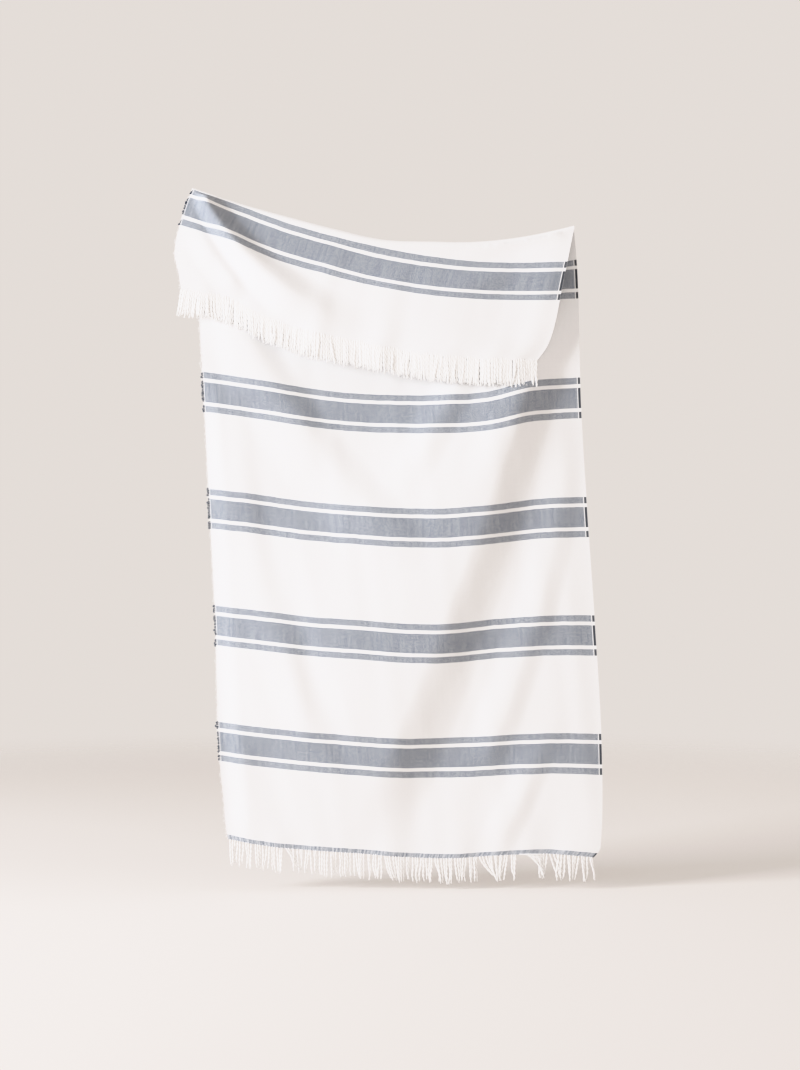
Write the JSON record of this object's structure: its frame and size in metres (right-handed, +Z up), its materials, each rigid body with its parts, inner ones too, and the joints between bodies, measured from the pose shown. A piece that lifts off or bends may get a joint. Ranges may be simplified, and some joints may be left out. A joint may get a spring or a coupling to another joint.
{
  "type": "fouta towel",
  "caption": "Flat-woven white cotton fouta towel with grey-blue stripe groups and fringed ends, hung by the two ends of a fold with its upper end turned over to the front.",
  "frame": {"origin": "crest of the fold at the left selvedge, where the towel is held", "axes": "+X along the fold to the right grip, +Y to the back, +Z up"},
  "size_m": [1.1094, 0.0729, 1.7983],
  "materials": {
    "cotton": "white flat weave with grey-blue weft stripes, matte",
    "fringe_yarn": "loose twisted white cotton yarn, matte"
  },
  "bodies": {
    "root": {"main_panel": "cotton", "folded_flap": "cotton", "hem_fringe": "fringe_yarn", "flap_fringe": "fringe_yarn"}
  },
  "joints": []
}
